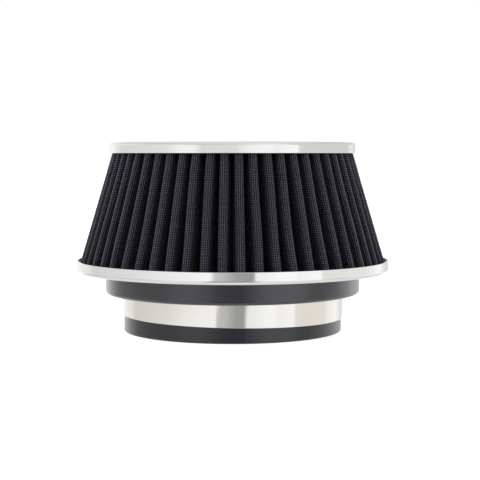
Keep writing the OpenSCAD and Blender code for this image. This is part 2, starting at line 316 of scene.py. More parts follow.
class Graph:
    """The node tree of one material, with short calls for its nodes"""

    def __init__(self, name):
        self.material = bpy.data.materials.new(name)
        self.material.use_nodes = True
        self.tree = self.material.node_tree
        self.shader = self.tree.nodes["Principled BSDF"]

    def node(self, kind, **values):
        made = self.tree.nodes.new(kind)
        for key, value in values.items():
            if hasattr(made, key):
                setattr(made, key, value)
            else:
                made.inputs[key.replace("_", " ")].default_value = value
        return made

    def link(self, out, into):
        self.tree.links.new(out, into)

    def drive(self, socket, out):
        self.link(out, self.shader.inputs[socket])

    def set(self, **values):
        for key, value in values.items():
            self.shader.inputs[key.replace("_", " ")].default_value = value

    def place(self, scale=(1, 1, 1), source="Object"):
        where = self.node("ShaderNodeTexCoord")
        mapping = self.node("ShaderNodeMapping")
        mapping.inputs["Scale"].default_value = scale
        self.link(where.outputs[source], mapping.inputs["Vector"])
        return mapping.outputs["Vector"]

    def noise(self, vector, scale, detail=4, roughness=0.5):
        made = self.node("ShaderNodeTexNoise")
        made.inputs["Scale"].default_value = scale
        made.inputs["Detail"].default_value = detail
        made.inputs["Roughness"].default_value = roughness
        self.link(vector, made.inputs["Vector"])
        return made.outputs["Fac"]

    def spread(self, value, low, high, start=0.3, end=0.7):
        made = self.node("ShaderNodeMapRange")
        made.inputs["From Min"].default_value = start
        made.inputs["From Max"].default_value = end
        made.inputs["To Min"].default_value = low
        made.inputs["To Max"].default_value = high
        self.link(value, made.inputs["Value"])
        return made.outputs["Result"]

    def ramp(self, value, stops):
        made = self.node("ShaderNodeValToRGB")
        elements = made.color_ramp.elements
        elements[0].position, elements[0].color = stops[0][0], (*stops[0][1], 1)
        elements[1].position, elements[1].color = stops[-1][0], (*stops[-1][1], 1)
        for position, colour in stops[1:-1]:
            elements.new(position).color = (*colour, 1)
        self.link(value, made.inputs["Fac"])
        return made.outputs["Color"]

    def bump(self, height, distance, strength=1, normal=None):
        made = self.node("ShaderNodeBump")
        made.inputs["Strength"].default_value = strength
        made.inputs["Distance"].default_value = distance
        self.link(height, made.inputs["Height"])
        if normal is not None:
            self.link(normal, made.inputs["Normal"])
        return made.outputs["Normal"]


# Share of the light that polished metal throws back
MIRROR = 0.93


def polished_metal():
    """Cap and ring: a mirror with a faint unevenness"""
    g = Graph("polished_metal")
    g.set(Metallic=1, Base_Color=(MIRROR, MIRROR, MIRROR, 1))
    vector = g.place()
    g.drive("Roughness", g.spread(g.noise(vector, 260, 6), 0.02, 0.05))
    g.drive("Normal", g.bump(g.noise(vector, 60, 2), 0.00001, 0.25))
    return g.material


def stainless_band():
    """Band, saddle and housing: polished strip with a fine grain along it, a little warm"""
    g = Graph("stainless_band")
    g.set(Metallic=1)
    vector = g.place((1, 1, 60))
    grain = g.noise(vector, 90, 5)
    g.drive("Base Color", g.ramp(grain, [(0.3, (0.89, 0.875, 0.835)), (0.7, (0.93, 0.915, 0.88))]))
    g.drive("Roughness", g.spread(grain, 0.05, 0.10))
    g.drive("Normal", g.bump(grain, 0.000004, 0.4))
    return g.material


def screw_steel():
    """Zinc plated steel, satin"""
    g = Graph("screw_steel")
    g.set(Metallic=1)
    vector = g.place()
    cloud = g.noise(vector, 500, 4)
    g.drive("Base Color", g.ramp(cloud, [(0.3, (0.58, 0.57, 0.55)), (0.7, (0.72, 0.71, 0.69))]))
    g.drive("Roughness", g.spread(cloud, 0.2, 0.34))
    g.drive("Normal", g.bump(cloud, 0.00002, 0.3))
    return g.material


def black_rubber():
    """Moulded rubber, bluish black, with more shine on the step than on the rim"""
    g = Graph("black_rubber")
    vector = g.place()
    cloud = g.noise(vector, 45, 4)
    grain = g.noise(vector, 2600, 3)
    g.set(IOR=1.35, Specular_Tint=(0.84, 0.88, 1, 1), Coat_IOR=1.78, Coat_Roughness=0.22)
    height = g.node("ShaderNodeSeparateXYZ")
    g.link(vector, height.inputs[0])
    g.drive("Coat Weight", g.spread(height.outputs["Z"], 0.6, 0.95, BAND_LOW.z, NECK_H))
    g.drive("Base Color", g.ramp(cloud, [(0.35, (0.003, 0.0036, 0.011)), (0.65, (0.005, 0.0056, 0.0135))]))
    g.drive("Roughness", g.spread(grain, 0.22, 0.3))
    g.drive("Normal", g.bump(grain, 0.00003, 0.15))
    return g.material


def potting_resin():
    """Cast black resin"""
    g = Graph("potting_resin")
    vector = g.place()
    cloud = g.noise(vector, 120, 4)
    g.drive("Base Color", g.ramp(cloud, [(0.3, (0.018, 0.018, 0.02)), (0.7, (0.03, 0.03, 0.033))]))
    g.drive("Roughness", g.spread(cloud, 0.3, 0.45))
    g.drive("Normal", g.bump(cloud, 0.0002, 0.4))
    return g.material


def fold_depth(g):
    """Distance inwards from the crests of the pleats"""
    split = g.node("ShaderNodeSeparateXYZ")
    g.link(g.place(), split.inputs[0])
    crest = g.node("ShaderNodeMath", operation="MULTIPLY_ADD")
    crest.inputs[1].default_value = CREST_SLOPE
    crest.inputs[2].default_value = CREST_RING_R - CREST_SLOPE * RING_HIGH.z
    g.link(split.outputs["Z"], crest.inputs[0])
    radius = g.node("ShaderNodeVectorMath", operation="LENGTH")
    g.link(g.place((1, 1, 0)), radius.inputs[0])
    depth = g.node("ShaderNodeMath", operation="SUBTRACT")
    g.link(crest.outputs[0], depth.inputs[0])
    g.link(radius.outputs["Value"], depth.inputs[1])
    return depth.outputs[0]


def black_wire():
    """Coated wire, with painted shade: light on the crests and darker deeper in the folds"""
    g = Graph("black_wire")
    g.set(IOR=1.35)
    vector = g.place()
    cloud = g.noise(vector, 900, 3)
    # Painted shade: the colour darkens with depth below the crests, where the folds shade each other
    depth = g.spread(fold_depth(g), 0, 1, 0, PAINTED_SHADE_DEPTH)
    painted_fold_shade = g.ramp(depth, [
        (0.02, (0.152, 0.16, 0.2)), (0.2, (0.042, 0.0445, 0.057)), (0.8, (0.021, 0.0225, 0.028)),
    ])
    spots = g.ramp(cloud, [(0.3, (0.75, 0.75, 0.75)), (0.7, (1, 1, 1))])
    both = g.node("ShaderNodeMix", data_type="RGBA", blend_type="MULTIPLY")
    both.inputs["Factor"].default_value = 1
    g.link(painted_fold_shade, both.inputs[6])
    g.link(spots, both.inputs[7])
    g.drive("Base Color", both.outputs[2])
    g.drive("Roughness", g.spread(cloud, 0.22, 0.34))
    return g.material


def weave_waves(g, pitch):
    """Two sets of waves across each other, along the cloth and up it"""
    split = g.node("ShaderNodeSeparateXYZ")
    g.link(g.place(source="UV"), split.inputs[0])
    waves = []
    for axis in ("X", "Y"):
        turn = g.node("ShaderNodeMath", operation="MULTIPLY")
        turn.inputs[1].default_value = TAU / pitch
        wave = g.node("ShaderNodeMath", operation="SINE")
        g.link(split.outputs[axis], turn.inputs[0])
        g.link(turn.outputs[0], wave.inputs[0])
        waves.append(wave.outputs[0])
    both = g.node("ShaderNodeMath", operation="MAXIMUM")
    g.link(waves[0], both.inputs[0])
    g.link(waves[1], both.inputs[1])
    return both.outputs[0]


def wire_weave():
    """The inner screen: its wires are drawn by relief and colour on a skin"""
    g = Graph("wire_weave")
    waves = weave_waves(g, WEFT_STEP)
    g.drive("Base Color", g.ramp(waves, [(0.6, (0.008, 0.008, 0.009)), (0.8, (0.10, 0.102, 0.118))]))
    g.set(Roughness=0.4)
    g.drive("Normal", g.bump(waves, 0.0002, 0.8))
    return g.material


def filter_cotton():
    """Oiled cotton gauze, woven along and across the folds"""
    g = Graph("filter_cotton")
    g.set(Roughness=0.85, IOR=1.3)
    fuzz = g.noise(g.place(), 700, 5)
    g.drive("Base Color", g.ramp(fuzz, [(0.3, (0.003, 0.003, 0.004)), (0.7, (0.007, 0.007, 0.009))]))
    weave = g.bump(weave_waves(g, GAUZE_STEP), 0.00006, 0.6)
    g.drive("Normal", g.bump(fuzz, 0.0001, 0.4, weave))
    return g.material


def clip_aluminium():
    """Plain rolled strip, with its grain up the clip"""
    g = Graph("clip_aluminium")
    g.set(Metallic=1)
    grain = g.noise(g.place((1, 1, 0.05)), 1500, 3)
    g.drive("Base Color", g.ramp(grain, [(0.3, (0.6, 0.61, 0.62)), (0.7, (0.74, 0.75, 0.76))]))
    g.drive("Roughness", g.spread(grain, 0.3, 0.42))
    return g.material


METAL = polished_metal()
BAND_METAL = stainless_band()
SCREW_METAL = screw_steel()
RUBBER = black_rubber()
RESIN = potting_resin()
WIRE = black_wire()
WEAVE = wire_weave()
COTTON = filter_cotton()
ALUMINIUM = clip_aluminium()


# Sheet metal, rubber and resin, all turned round the axis


def build_cap():
    """The top cap: a wall with a rounded shoulder, and a top face with a shallow pressed middle"""
    z0, z1 = CAP_LOW.z, CAP_HIGH.z
    inner = CAP_EDGE_R - CAP_SHEET
    dish = BED_R - DISH_SLOPE - CAP_SHEET
    nose = SHEET_NOSE_R
    outline = rounded([
        (CAP_R - CAP_SHEET, z0, nose), (CAP_R, z0, nose), (CAP_R, z1, CAP_EDGE_R),
        (dish + DISH_SLOPE, z1, DISH_BEND_OUT), (dish, z1 - CAP_DISH, DISH_BEND_OUT), (0, z1 - CAP_DISH, 0),
        (0, z1 - CAP_DISH - CAP_SHEET, 0), (dish + CAP_SHEET / 2, z1 - CAP_DISH - CAP_SHEET, DISH_BEND_IN),
        (dish + DISH_SLOPE + CAP_SHEET / 2, z1 - CAP_SHEET, DISH_BEND_IN),
        (CAP_R - CAP_SHEET, z1 - CAP_SHEET, inner),
    ], METAL_ARC)
    mesh = revolve("cap_sheet", outline, METAL_SIDES)
    mesh.materials.append(METAL)
    even_shading(make_object("cap_sheet", mesh, replaced=["top_cap"]))


def build_ring():
    """The base ring: a wall with a rounded lower edge, and a flat bottom that reaches in to the rubber"""
    z0, z1 = RING_LOW.z, RING_HIGH.z
    nose = SHEET_NOSE_R
    outline = rounded([
        (RING_HOLE_R, z0, 0), (RING_R, z0, RING_EDGE_R), (RING_R, z1, nose), (RING_R - RING_SHEET, z1, nose),
        (RING_R - RING_SHEET, z0 + RING_SHEET, RING_EDGE_R - RING_SHEET), (RING_HOLE_R, z0 + RING_SHEET, 0),
    ], METAL_ARC)
    mesh = revolve("ring_sheet", outline, METAL_SIDES)
    mesh.materials.append(METAL)
    even_shading(make_object("ring_sheet", mesh, replaced=["base_ring"]))


def build_neck():
    """The rubber moulding: rim and neck, the step with a relief under it, and a groove round the ring's edge"""
    ring_z = RING_LOW.z
    bed_z = PACK_LOW.z
    groove = RING_HOLE_R - SEAT_GAP
    outline = rounded([
        (BORE_R, MOUTH_CHAMFER, MOUTH_R), (BORE_R + MOUTH_CHAMFER, 0, MOUTH_R), (NECK_R, 0, RIM_R),
        (NECK_R, NECK_H + RELIEF_H, RELIEF_R), (NECK_R + RELIEF_W, NECK_H + RELIEF_H, RELIEF_R),
        (NECK_R + RELIEF_W, NECK_H, RELIEF_LIP_R), (STEP_R, NECK_H, STEP_EDGE_R), (STEP_R, ring_z, 0),
        (groove, ring_z, 0), (groove, ring_z + RING_SHEET, 0), (LIP_R, ring_z + RING_SHEET, 0),
        (LIP_R, bed_z, LIP_BACK_R), (BORE_R, bed_z, LIP_EDGE_R),
    ], RUBBER_ARC)
    mesh = revolve("neck_rubber", outline, RUBBER_SIDES)
    mesh.materials.append(RUBBER)
    even_shading(make_object("neck_rubber", mesh, replaced=["neck_flange"]))


def build_beds():
    """The two potting beds, cast into the ring and the cap for the ends of the pleats"""
    low_z = RING_LOW.z + RING_SHEET
    top_z = CAP_HIGH.z - CAP_SHEET
    low_in, low_out = LIP_R + SEAT_GAP, RING_R - RING_SHEET - SEAT_GAP
    top_out = CAP_R - CAP_SHEET - SEAT_GAP
    beds = {
        "resin_low": ("base_potting", [
            (low_in, low_z, 0), (low_out, low_z, RING_EDGE_R - RING_SHEET),
            (low_out, PACK_LOW.z, BED_CORNER_R), (low_in, PACK_LOW.z, BED_CORNER_R),
        ]),
        "resin_top": ("top_potting", [
            (BED_R, PACK_HIGH.z, BED_EDGE_R), (top_out, PACK_HIGH.z, BED_CORNER_R),
            (top_out, top_z, CAP_EDGE_R - CAP_SHEET), (BED_R, top_z, 0),
        ]),
    }
    for name, (node, corners) in beds.items():
        mesh = revolve(name, rounded(corners, RESIN_ARC), RESIN_SIDES)
        mesh.materials.append(RESIN)
        make_object(name, mesh, replaced=[node])


# The pleated pack


def crest_r(z):
    """Radius of the crests at a height"""
    return CREST_RING_R + CREST_SLOPE * (z - RING_HIGH.z)


def make_sway():
    """Three random shares of the sway for each fold, and none at the seam"""
    shares = np.random.default_rng(SWAY_SEED).normal(0, 1, (2 * PLEATS, 3)).clip(-SWAY_LIMIT, SWAY_LIMIT)
    shares[2 * SEAM: 2 * SEAM + 3] = 0
    return shares


SWAY = make_sway()


def fold_turn(fold, z):
    """Bearing of each fold at a height; even folds are crests and odd ones are valleys"""
    s = (z - PACK_LOW.z) / (PACK_HIGH.z - PACK_LOW.z)
    mid, twice, even = SWAY[fold % (2 * PLEATS)].T
    shift = SWAY_MID * mid * np.sin(math.pi * s) + SWAY_TWICE * twice * np.sin(TAU * s) + SWAY_EVEN * even
    return FRONT + (fold + 1) * FOLD_STEP / 2 + shift / crest_r(z)


def fold_point(fold, t, e, z):
    """Points on folds: t runs from -1 to 1 round the fold, e is the distance outside the cloth's middle"""
    crest = fold % 2 == 0
    a = FOLD_END * t
    radius = np.where(crest, FOLD_R + e, FOLD_R - e)
    middle = np.where(crest, crest_r(z) - PACK_FOLD_R, crest_r(z) - PLEAT_DEPTH + PACK_FOLD_R)
    along = middle + np.where(crest, 1, -1) * radius * np.cos(a)
    across = radius * np.sin(a)
    turn = fold_turn(fold, z)
    x = along * np.cos(turn) - across * np.sin(turn)
    y = along * np.sin(turn) + across * np.cos(turn)
    return np.stack([x, y, np.broadcast_to(z, x.shape)], -1)


def pleat_point(fold, t, share, e, z):
    """Points of the pack: on a fold, or a share of the way along the flat side to the next fold"""
    here = fold_point(fold, t, e, z)
    after = fold_point(fold + 1, -np.ones_like(t), e, z)
    return here + share[..., None] * (after - here)


def even_places(count, e):
    """Evenly spaced places along one pleat, as (fold, t, share of the flat side)"""
    arcs = [2 * FOLD_END * (FOLD_R + e), 2 * FOLD_END * (FOLD_R - e)]
    z = np.float64((PACK_LOW.z + PACK_HIGH.z) / 2)
    f = MEASURED_FOLD
    corners = [(f, 1), (f + 1, -1), (f + 1, 1), (f + 2, -1)]
    ends = [fold_point(np.array(fold), np.array(float(t)), e, z) for fold, t in corners]
    sides = [np.linalg.norm(ends[1] - ends[0]), np.linalg.norm(ends[3] - ends[2])]
    total = sum(arcs) + sum(sides)
    places = []
    for i in range(count):
        d = (i + 0.5) * total / count
        for fold in (0, 1):
            if d <= arcs[fold]:
                places.append((fold, 2 * d / arcs[fold] - 1, 0))
                break
            d -= arcs[fold]
            if d <= sides[fold]:
                places.append((fold, 1, d / sides[fold]))
                break
            d -= sides[fold]
    return places


def skin_places():
    """Places along one pleat with more points on its folds than on its sides"""
    places = []
    for fold in (0, 1):
        places.extend((fold, 2 * i / SKIN_ARC - 1, 0) for i in range(SKIN_ARC + 1))
        places.extend((fold, 1, i / SKIN_FLANK) for i in range(1, SKIN_FLANK))
    return places


def all_round(places):
    """The places of one pleat repeated for all pleats, as three arrays"""
    fold, t, share = (np.array(v, float) for v in zip(*places))
    fold = (fold.astype(int)[None, :] + 2 * np.arange(PLEATS)[:, None]).ravel()
    return fold, np.tile(t, PLEATS), np.tile(share, PLEATS)


def pleated_skin(name, e_out, e_in):
    """A closed skin between two distances from the cloth's middle, with its place on the cloth as UV"""
    fold, t, share = all_round(skin_places())
    heights = np.linspace(PACK_LOW.z, PACK_HIGH.z, SKIN_ROWS)
    outer = np.array([pleat_point(fold, t, share, e_out, z) for z in heights])
    inner = np.array([pleat_point(fold, t, share, e_in, z) for z in heights])
    rings = np.stack([outer, inner], 1)
    loop = np.concatenate([rings[:, 0], rings[::-1, 1]])
    count = len(fold)
    quads = tube_quads(2 * SKIN_ROWS, count, True)
    mesh = grid_mesh(name, loop, quads, SKIN_SHARP)
    step = np.linalg.norm(outer[0] - np.roll(outer[0], 1, 0), axis=1)
    along = np.cumsum(step)
    height = np.concatenate([heights, heights[::-1]])
    ring, side = np.divmod(np.arange(2 * SKIN_ROWS * count), count)
    start = np.stack([along[side], height[ring]], -1)
    uv = start[quads]
    wrap = quads[:, 2] % count == 0
    uv[wrap, 2, 0] += along[-1]
    uv[wrap, 3, 0] += along[-1]
    layer = mesh.uv_layers.new(name="cloth")
    layer.data.foreach_set("uv", uv.astype(np.float32).ravel())
    return mesh


def build_cloth():
    """The cotton between the two screens"""
    mesh = pleated_skin("cotton_pleats", CLOTH_T / 2, -CLOTH_T / 2)
    mesh.materials.append(COTTON)
    make_object("cotton_pleats", mesh, replaced=["filter_cloth"])


def build_inner_screen():
    """The screen on the clean side, one skin"""
    near = CLOTH_T / 2 + LAYER_GAP
    mesh = pleated_skin("screen_inside", -near, -near - SCREEN_T)
    mesh.materials.append(WEAVE)
    make_object("screen_inside", mesh, replaced=["inner_screen"])


# The outer screen, woven from single wires


def wire_ring(centre, first, second, radius):
    """Three corners round each centre, in the plane of two directions"""
    turns = TAU * np.arange(WIRE_SIDES) / WIRE_SIDES
    spokes = np.cos(turns)[:, None] * first[..., None, :] + np.sin(turns)[:, None] * second[..., None, :]
    return centre[..., None, :] + radius * spokes


def outward(fold, t, share, z):
    """Direction out of the screen at its places"""
    out = pleat_point(fold, t, share, SCREEN_MID + OUTWARD_STEP, z) - pleat_point(fold, t, share, SCREEN_MID, z)
    return out / np.linalg.norm(out, axis=-1, keepdims=True)


def build_warp(fold, t, share):
    """The wires that run up the folds"""
    heights = np.linspace(PACK_LOW.z, PACK_HIGH.z, WARP_ROWS)
    centre = np.array([pleat_point(fold, t, share, SCREEN_MID, z) for z in heights])
    out = np.array([outward(fold, t, share, z) for z in heights])
    up = np.gradient(centre, axis=0)
    aside = np.cross(up, out)
    aside /= np.linalg.norm(aside, axis=-1, keepdims=True)
    rings = wire_ring(centre, out, aside, WARP_R).swapaxes(0, 1)
    wires, count = rings.shape[:2]
    quads = tube_quads(count, WIRE_SIDES)
    start = np.arange(wires)[:, None, None] * count * WIRE_SIDES
    mesh = grid_mesh("screen_warp", rings, quads[None] + start)
    mesh.materials.append(WIRE)
    make_object("screen_warp", mesh, replaced=["outer_screen"])


def build_weft(fold, t, share):
    """The wires that run round the folds, over one warp wire and under the next"""
    rows = int((PACK_HIGH.z - PACK_LOW.z) / WEFT_STEP)
    heights = PACK_LOW.z + WEFT_STEP * (np.arange(rows) + 0.5)
    count = len(fold)
    centre = np.array([pleat_point(fold, t, share, SCREEN_MID, z) for z in heights])
    out = np.array([outward(fold, t, share, z) for z in heights])
    over = (-1.0) ** (np.arange(rows)[:, None] + np.arange(count)[None, :])
    centre = centre + WEAVE_RISE * over[..., None] * out
    up = np.broadcast_to(np.array([0, 0, 1.0]), out.shape)
    rings = wire_ring(centre, out, up, WEFT_R)
    share_of_round = count // SCREEN_SECTORS
    for sector in range(SCREEN_SECTORS):
        part = np.arange(sector * share_of_round, (sector + 1) * share_of_round + 1) % count
        quads = tube_quads(len(part), WIRE_SIDES)
        start = np.arange(rows)[:, None, None] * len(part) * WIRE_SIDES
        name = f"screen_weft_{sector + 1}"
        mesh = grid_mesh(name, rings[:, part], quads[None] + start)
        mesh.materials.append(WIRE)
        make_object(name, mesh)


# The band clamp

CLAMP_FRAME = Matrix.Translation((0, 0, CLAMP_Z)) @ Matrix.Rotation(CLAMP_TILT, 4, "Y")
BACK = math.pi / 2
PATH_START = BACK - LAP_HALF
FIRST_END = BACK + LAP_HALF
LOW_START = FIRST_END + EASE
LOW_END = PATH_START + TAU - EASE
SECOND_START = PATH_START + TAU
SECOND_END = FIRST_END + TAU
TAIL_START = LOW_START + TAU
PATH_END = PATH_START + TAU + 2 * LAP_HALF + TAIL_ANGLE


def eased(v0, v1, t):
    """Soft passage from one value to another"""
    return v0 + (v1 - v0) * (1 - math.cos(math.pi * t)) / 2


def lap_r(a):
    """Inner radius of the band at an angle along its path"""
    if a < FIRST_END:
        return LAP_FIRST
    if a < LOW_START:
        return eased(LAP_FIRST, LAP_LOW, (a - FIRST_END) / EASE)
    if a < LOW_END:
        return LAP_LOW
    if a < SECOND_START:
        return eased(LAP_LOW, LAP_SECOND, (a - LOW_END) / EASE)
    if a < SECOND_END:
        return LAP_SECOND
    if a < TAIL_START:
        return eased(LAP_SECOND, LAP_TAIL, (a - SECOND_END) / EASE)
    return LAP_TAIL


def build_band():
    """A strip with rounded edges that laps over its own end, with the screw's slots cut through it"""
    half = BAND_W / 2
    edge = BAND_EDGE_R
    section = rounded([(0, -half, edge), (BAND_T, -half, edge), (BAND_T, half, edge), (0, half, edge)], BAND_ARC)
    angles = np.linspace(PATH_START, PATH_END, BAND_STEPS)
    rings = []
    for a in angles:
        r = lap_r(a)
        rings.append([((r + p.x) * math.cos(a), (r + p.x) * math.sin(a), p.y) for p in section])
    count = len(section)
    mesh = bpy.data.meshes.new("band_strip")
    quads = tube_quads(BAND_STEPS, count).tolist()
    ends = [list(range(count))[::-1], list(range((BAND_STEPS - 1) * count, BAND_STEPS * count))]
    mesh.from_pydata(np.array(rings).reshape(-1, 3).tolist(), [], quads + ends)
    band = make_object("band_strip", mesh, replaced=["clamp_band"])

    slot_step = SLOT_PITCH / LAP_SECOND
    slot_depth = BAND_T + 2 * LAP_GAP - SLOT_SPARE
    cutter_mesh = bmesh.new()
    for i in range(SLOTS):
        a = PATH_END - (i + 1) * slot_step
        place = Matrix.Rotation(a, 4, "Z") @ Matrix.Translation((lap_r(a) + BAND_T / 2, 0, 0))
        lie = Matrix.Rotation(SLOT_SLANT, 4, "X")
        size = Matrix.Diagonal((slot_depth, SLOT_W, SLOT_L, 1))
        bmesh.ops.create_cube(cutter_mesh, size=1, matrix=place @ lie @ size)
    cut(band, cutter_mesh)
    finish_part(band, BAND_METAL, BAND_SHARP)
    band.data.transform(CLAMP_FRAME)
    even_shading(band)


def cut(piece, tool_mesh, operation="DIFFERENCE"):
    """Cuts a piece with a closed mesh"""
    mesh = bpy.data.meshes.new("tool")
    tool_mesh.to_mesh(mesh)
    tool_mesh.free()
    tool = bpy.data.objects.new("tool", mesh)
    bpy.context.scene.collection.objects.link(tool)
    change = piece.modifiers.new("cut", "BOOLEAN")
    change.operation = operation
    change.solver = "EXACT"
    change.object = tool
    bake(piece)
    bpy.data.objects.remove(tool)


def bake(piece):
    """Turns a piece's modifiers into its mesh"""
    bpy.context.view_layer.update()
    seen = piece.evaluated_get(bpy.context.evaluated_depsgraph_get())
    mesh = bpy.data.meshes.new_from_object(seen)
    piece.modifiers.clear()
    piece.data = mesh


def finish_part(piece, material, smooth_angle=SHARP_ANGLE):
    """Gives a piece its material and smooth shading, but for edges sharper than the angle"""
    mesh = piece.data
    mesh.materials.clear()
    mesh.materials.append(material)
    mesh.shade_smooth()
    mesh.set_sharp_from_angle(angle=math.radians(smooth_angle))


def dress_node(name, material, edge=0):
    """Gives a solid that stays in view its material, and rounds its edges a little"""
    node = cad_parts[name]
    node.data.materials.clear()
    node.data.materials.append(material)
    if edge:
        bevel = node.modifiers.new("edges", "BEVEL")
        bevel.width = edge
        bevel.segments = BEVEL_STEPS
        bevel.limit_method = "ANGLE"
        bevel.angle_limit = math.radians(SHARP_ANGLE)


# The screw


def along_x(outline, segments):
    """A closed mesh turned round the screw's axis from (distance along X, radius) points, closed at both ends"""
    made = bmesh.new()
    rings = []
    for x, r in outline:
        if r == 0:
            rings.append([made.verts.new((x, WORM_Y, 0))])
            continue
        turns = [TAU * i / segments for i in range(segments)]
        rings.append([made.verts.new((x, WORM_Y + r * math.cos(a), r * math.sin(a))) for a in turns])
    for before, after in zip(rings, rings[1:]):
        for i in range(segments):
            j = (i + 1) % segments
            near = before[i % len(before)], before[j % len(before)]
            far = after[j % len(after)], after[i % len(after)]
            made.faces.new(list(dict.fromkeys(near + far)))
    bmesh.ops.recalc_face_normals(made, faces=made.faces)
    return made


def build_screw():
    """The shaft with its collars, core and pilot, and a hexagon with turned corners and a driver slot"""
    head_x = HOUSE_L / 2 + END_PLAY
    hex_x = head_x + COLLAR_H
    end_x = hex_x + HEX_L
    edge = SCREW_EDGE
    half = WORM_L / 2
    shaft = [
        (-hex_x - edge, 0), (-hex_x - edge, COLLAR_R - edge), (-hex_x, COLLAR_R), (-head_x - edge, COLLAR_R),
        (-head_x, COLLAR_R - edge), (-head_x, JOURNAL_R), (-half, JOURNAL_R), (-half, CORE_R - 3 * edge),
        (-half + 3 * edge, CORE_R), (half - 3 * edge, CORE_R), (half, CORE_R - 3 * edge), (half, PILOT_R),
        (HOUSE_L / 2 - edge, PILOT_R), (HOUSE_L / 2, PILOT_R - edge), (HOUSE_L / 2, 0),
    ]
    mesh = bpy.data.meshes.new("screw_shaft")
    made = along_x(shaft, SHAFT_SIDES)
    made.to_mesh(mesh)
    made.free()
    screw = make_object("screw_shaft", mesh, "screw", ["clamp_screw"])
    finish_part(screw, SCREW_METAL)
    screw.data.transform(CLAMP_FRAME)

    corner_r = HEX_AF / 2 / math.cos(math.pi / 6)
    hexagon = bmesh.new()
    place = Matrix.Translation((-hex_x - HEX_L / 2, WORM_Y, 0)) @ Matrix.Rotation(math.pi / 2, 4, "Y")
    bmesh.ops.create_cone(
        hexagon, cap_ends=True, segments=6, radius1=corner_r, radius2=corner_r, depth=HEX_L, matrix=place
    )
    mesh = bpy.data.meshes.new("screw_head")
    hexagon.to_mesh(mesh)
    hexagon.free()
    head = make_object("screw_head", mesh, "screw")
    chamfer = corner_r - HEX_AF / 2 * HEAD_FACE
    wide = corner_r + HEAD_SPARE
    cone = [
        (-end_x, 0), (-end_x, corner_r - chamfer), (-end_x + chamfer * FRONT_TAPER, wide),
        (-hex_x - chamfer * BACK_TAPER, wide), (-hex_x, corner_r - chamfer * BACK_CUT), (-hex_x, 0),
    ]
    cut(head, along_x(cone, HEAD_SIDES), "INTERSECT")
    groove = bmesh.new()
    size = Matrix.Diagonal((2 * DRIVE_H, 4 * HEX_AF, DRIVE_W, 1))
    bmesh.ops.create_cube(groove, size=1, matrix=Matrix.Translation((-end_x, WORM_Y, 0)) @ size)
    cut(head, groove)
    finish_part(head, SCREW_METAL, HEAD_SHARP)
    head.data.transform(CLAMP_FRAME)


def build_thread():
    """The thread, a ridge that winds round the core and fades out over half a turn at both ends"""
    turns = (WORM_L - 2 * THREAD_MARGIN) / THREAD_PITCH
    count = int(turns * THREAD_STEPS) + 1
    sunk = CORE_R - THREAD_SUNK
    top = CORE_R + THREAD_H
    section = [(-THREAD_FOOT, sunk), (-THREAD_CREST, top), (THREAD_CREST, top), (THREAD_FOOT, sunk)]
    rings = []
    for i in range(count):
        a = TAU * i / THREAD_STEPS
        x = (i / THREAD_STEPS - turns / 2) * THREAD_PITCH
        fade = min(1, i / THREAD_STEPS * 2, (count - 1 - i) / THREAD_STEPS * 2)
        ring = []
        for shift, r in section:
            height = sunk + (r - sunk) * fade
            ring.append((x + shift, WORM_Y + height * math.cos(a), height * math.sin(a)))
        rings.append(ring)
    mesh = grid_mesh("screw_thread", rings, tube_quads(count, len(section)), THREAD_SHARP)
    mesh.transform(CLAMP_FRAME)
    mesh.materials.append(SCREW_METAL)
    make_object("screw_thread", mesh, "screw")


# Camera, light and surroundings

# The camera stands level with the top cap's lower edge and looks down a little. The photo is 480 pixels wide and
# high, and FOCUS, HORIZON_ROW and AXIS_COLUMN are in its pixels.
PHOTO_HALF = 240
FOCUS = 1330.6
CAMERA_DISTANCE = 653 * MM
CAMERA_HEIGHT = CAP_LOW.z - 0.2 * MM
HORIZON_ROW = 153.6
AXIS_COLUMN = 232.6
SENSOR = 36
SIGHT_START = 0.01
SIGHT_END = 30

FLOOR_HALF = 6
FLOOR_GLOW = 0.65
SOFT_LIGHT = (0.9, 0.9, 0.92)

# Lamps: name, place and size in metres, and watts
LAMPS = [("key", (-0.9, 0, 0.4), 0.4, 2.5), ("fill", (0.8, -0.5, 0.4), 0.4, 1)]


def build_camera():
    """The photo's own view"""
    data = bpy.data.cameras.new("camera")
    data.sensor_width = SENSOR
    data.lens = FOCUS * SENSOR / (2 * PHOTO_HALF)
    data.clip_start = SIGHT_START
    data.clip_end = SIGHT_END
    camera = bpy.data.objects.new("camera", data)
    bpy.context.scene.collection.objects.link(camera)
    aside = (PHOTO_HALF - AXIS_COLUMN) / FOCUS * CAMERA_DISTANCE
    camera.location = (aside, -CAMERA_DISTANCE, CAMERA_HEIGHT)
    pitch = math.atan((PHOTO_HALF - HORIZON_ROW) / FOCUS)
    camera.rotation_euler = (math.pi / 2 - pitch, 0, 0)
    bpy.context.scene.camera = camera


def build_floor():
    """White floor: its own light makes it white for the camera, and a soft shadow still shows on it"""
    size = FLOOR_HALF
    corners = [(-size, -size, 0), (size, -size, 0), (size, size, 0), (-size, size, 0)]
    mesh = grid_mesh("floor", corners, [(0, 1, 2, 3)])
    floor = bpy.data.objects.new("floor", mesh)
    bpy.context.scene.collection.objects.link(floor)
    g = Graph("floor_white")
    g.set(Base_Color=(0.88, 0.88, 0.88, 1), Roughness=0.9, Specular_IOR_Level=0, Emission_Color=(1, 1, 1, 1))
    rays = g.node("ShaderNodeLightPath")
    scale = g.node("ShaderNodeMath", operation="MULTIPLY")
    scale.inputs[1].default_value = FLOOR_GLOW
    g.link(rays.outputs["Is Camera Ray"], scale.inputs[0])
    g.drive("Emission Strength", scale.outputs[0])
    mesh.materials.append(g.material)
    floor.visible_glossy = False


